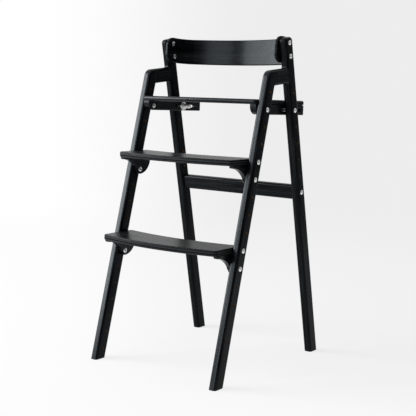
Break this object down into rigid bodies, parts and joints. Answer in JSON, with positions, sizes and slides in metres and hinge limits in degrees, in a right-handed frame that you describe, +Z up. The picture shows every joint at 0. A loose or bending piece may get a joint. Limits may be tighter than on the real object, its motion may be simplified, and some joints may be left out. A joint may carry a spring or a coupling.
{
  "type": "toddler counter height chair",
  "caption": "Tall wooden child's chair with leaning side frames full of holes, a bent plywood backrest, an adjustable seat on slotted rails and bowed step boards on brackets.",
  "frame": {"origin": "on the floor, in the middle of the rectangle around the four feet", "axes": "+Z up, +Y to the back of the chair, +X to the right of someone looking at the chair's front"},
  "size_m": [0.4234, 0.4869, 0.8689],
  "materials": {
    "frame_wood": "black stained solid wood, satin",
    "board_wood": "black stained plywood, satin",
    "bent_plywood": "black stained bent plywood, satin",
    "dowel_wood": "raw beech",
    "bolt_steel": "bright zinc",
    "nut_steel": "zinc",
    "bright_nickel": "nickel"
  },
  "bodies": {
    "chair": {"backrest": "bent_plywood", "backrest_bolts": "bolt_steel", "backrest_nuts": "nut_steel", "crossbar_barrel_nuts": "nut_steel", "crossbar_bolts": "bolt_steel", "crossbar_dowels": "dowel_wood", "left_arm": "frame_wood", "left_arm_dowels": "dowel_wood", "left_front_leg": "frame_wood", "left_rear_leg": "frame_wood", "left_seat_rail": "frame_wood", "lower_step_board": "board_wood", "lower_step_bolts": "bolt_steel", "lower_step_dowels": "dowel_wood", "lower_step_inserts": "nut_steel", "lower_step_left_bracket": "frame_wood", "lower_step_nuts": "nut_steel", "lower_step_right_bracket": "frame_wood", "rear_crossbar": "frame_wood", "right_arm": "frame_wood", "right_arm_dowels": "dowel_wood", "right_front_leg": "frame_wood", "right_rear_leg": "frame_wood", "right_seat_rail": "frame_wood", "seat_board": "board_wood", "seat_dowels": "dowel_wood", "seat_front_bolts": "bolt_steel", "seat_front_nuts": "nut_steel", "seat_rear_bolts": "bolt_steel", "upper_step_board": "board_wood", "upper_step_bolts": "bolt_steel", "upper_step_dowels": "dowel_wood", "upper_step_inserts": "nut_steel", "upper_step_left_bracket": "frame_wood", "upper_step_nuts": "nut_steel", "upper_step_right_bracket": "frame_wood"},
    "left_thumb_nut": {"left_thumb_nut": "bright_nickel"},
    "left_washer": {"left_washer": "bright_nickel"},
    "right_thumb_nut": {"right_thumb_nut": "bright_nickel"},
    "right_washer": {"right_washer": "bright_nickel"}
  },
  "joints": [
    {"name": "left_washer_slide", "type": "slide", "parent": "chair", "child": "left_washer", "axis": [1, 0, 0], "range_m": [0, 0.003]},
    {"name": "left_thumb_nut_turn", "type": "hinge", "parent": "left_washer", "child": "left_thumb_nut", "pos_m": [-0.1665, 0.08468, 0.67615], "axis": [1, 0, 0], "range_deg": [0, 1080]},
    {"name": "right_washer_slide", "type": "slide", "parent": "chair", "child": "right_washer", "axis": [-1, 0, 0], "range_m": [0, 0.003]},
    {"name": "right_thumb_nut_turn", "type": "hinge", "parent": "right_washer", "child": "right_thumb_nut", "pos_m": [0.1665, 0.08468, 0.67615], "axis": [-1, 0, 0], "range_deg": [0, 1080]}
  ],
  "couplings": [
    {"joint": "left_thumb_nut_turn", "follows": "left_washer_slide", "rad_per_m": 6283},
    {"joint": "right_thumb_nut_turn", "follows": "right_washer_slide", "rad_per_m": 6283}
  ]
}
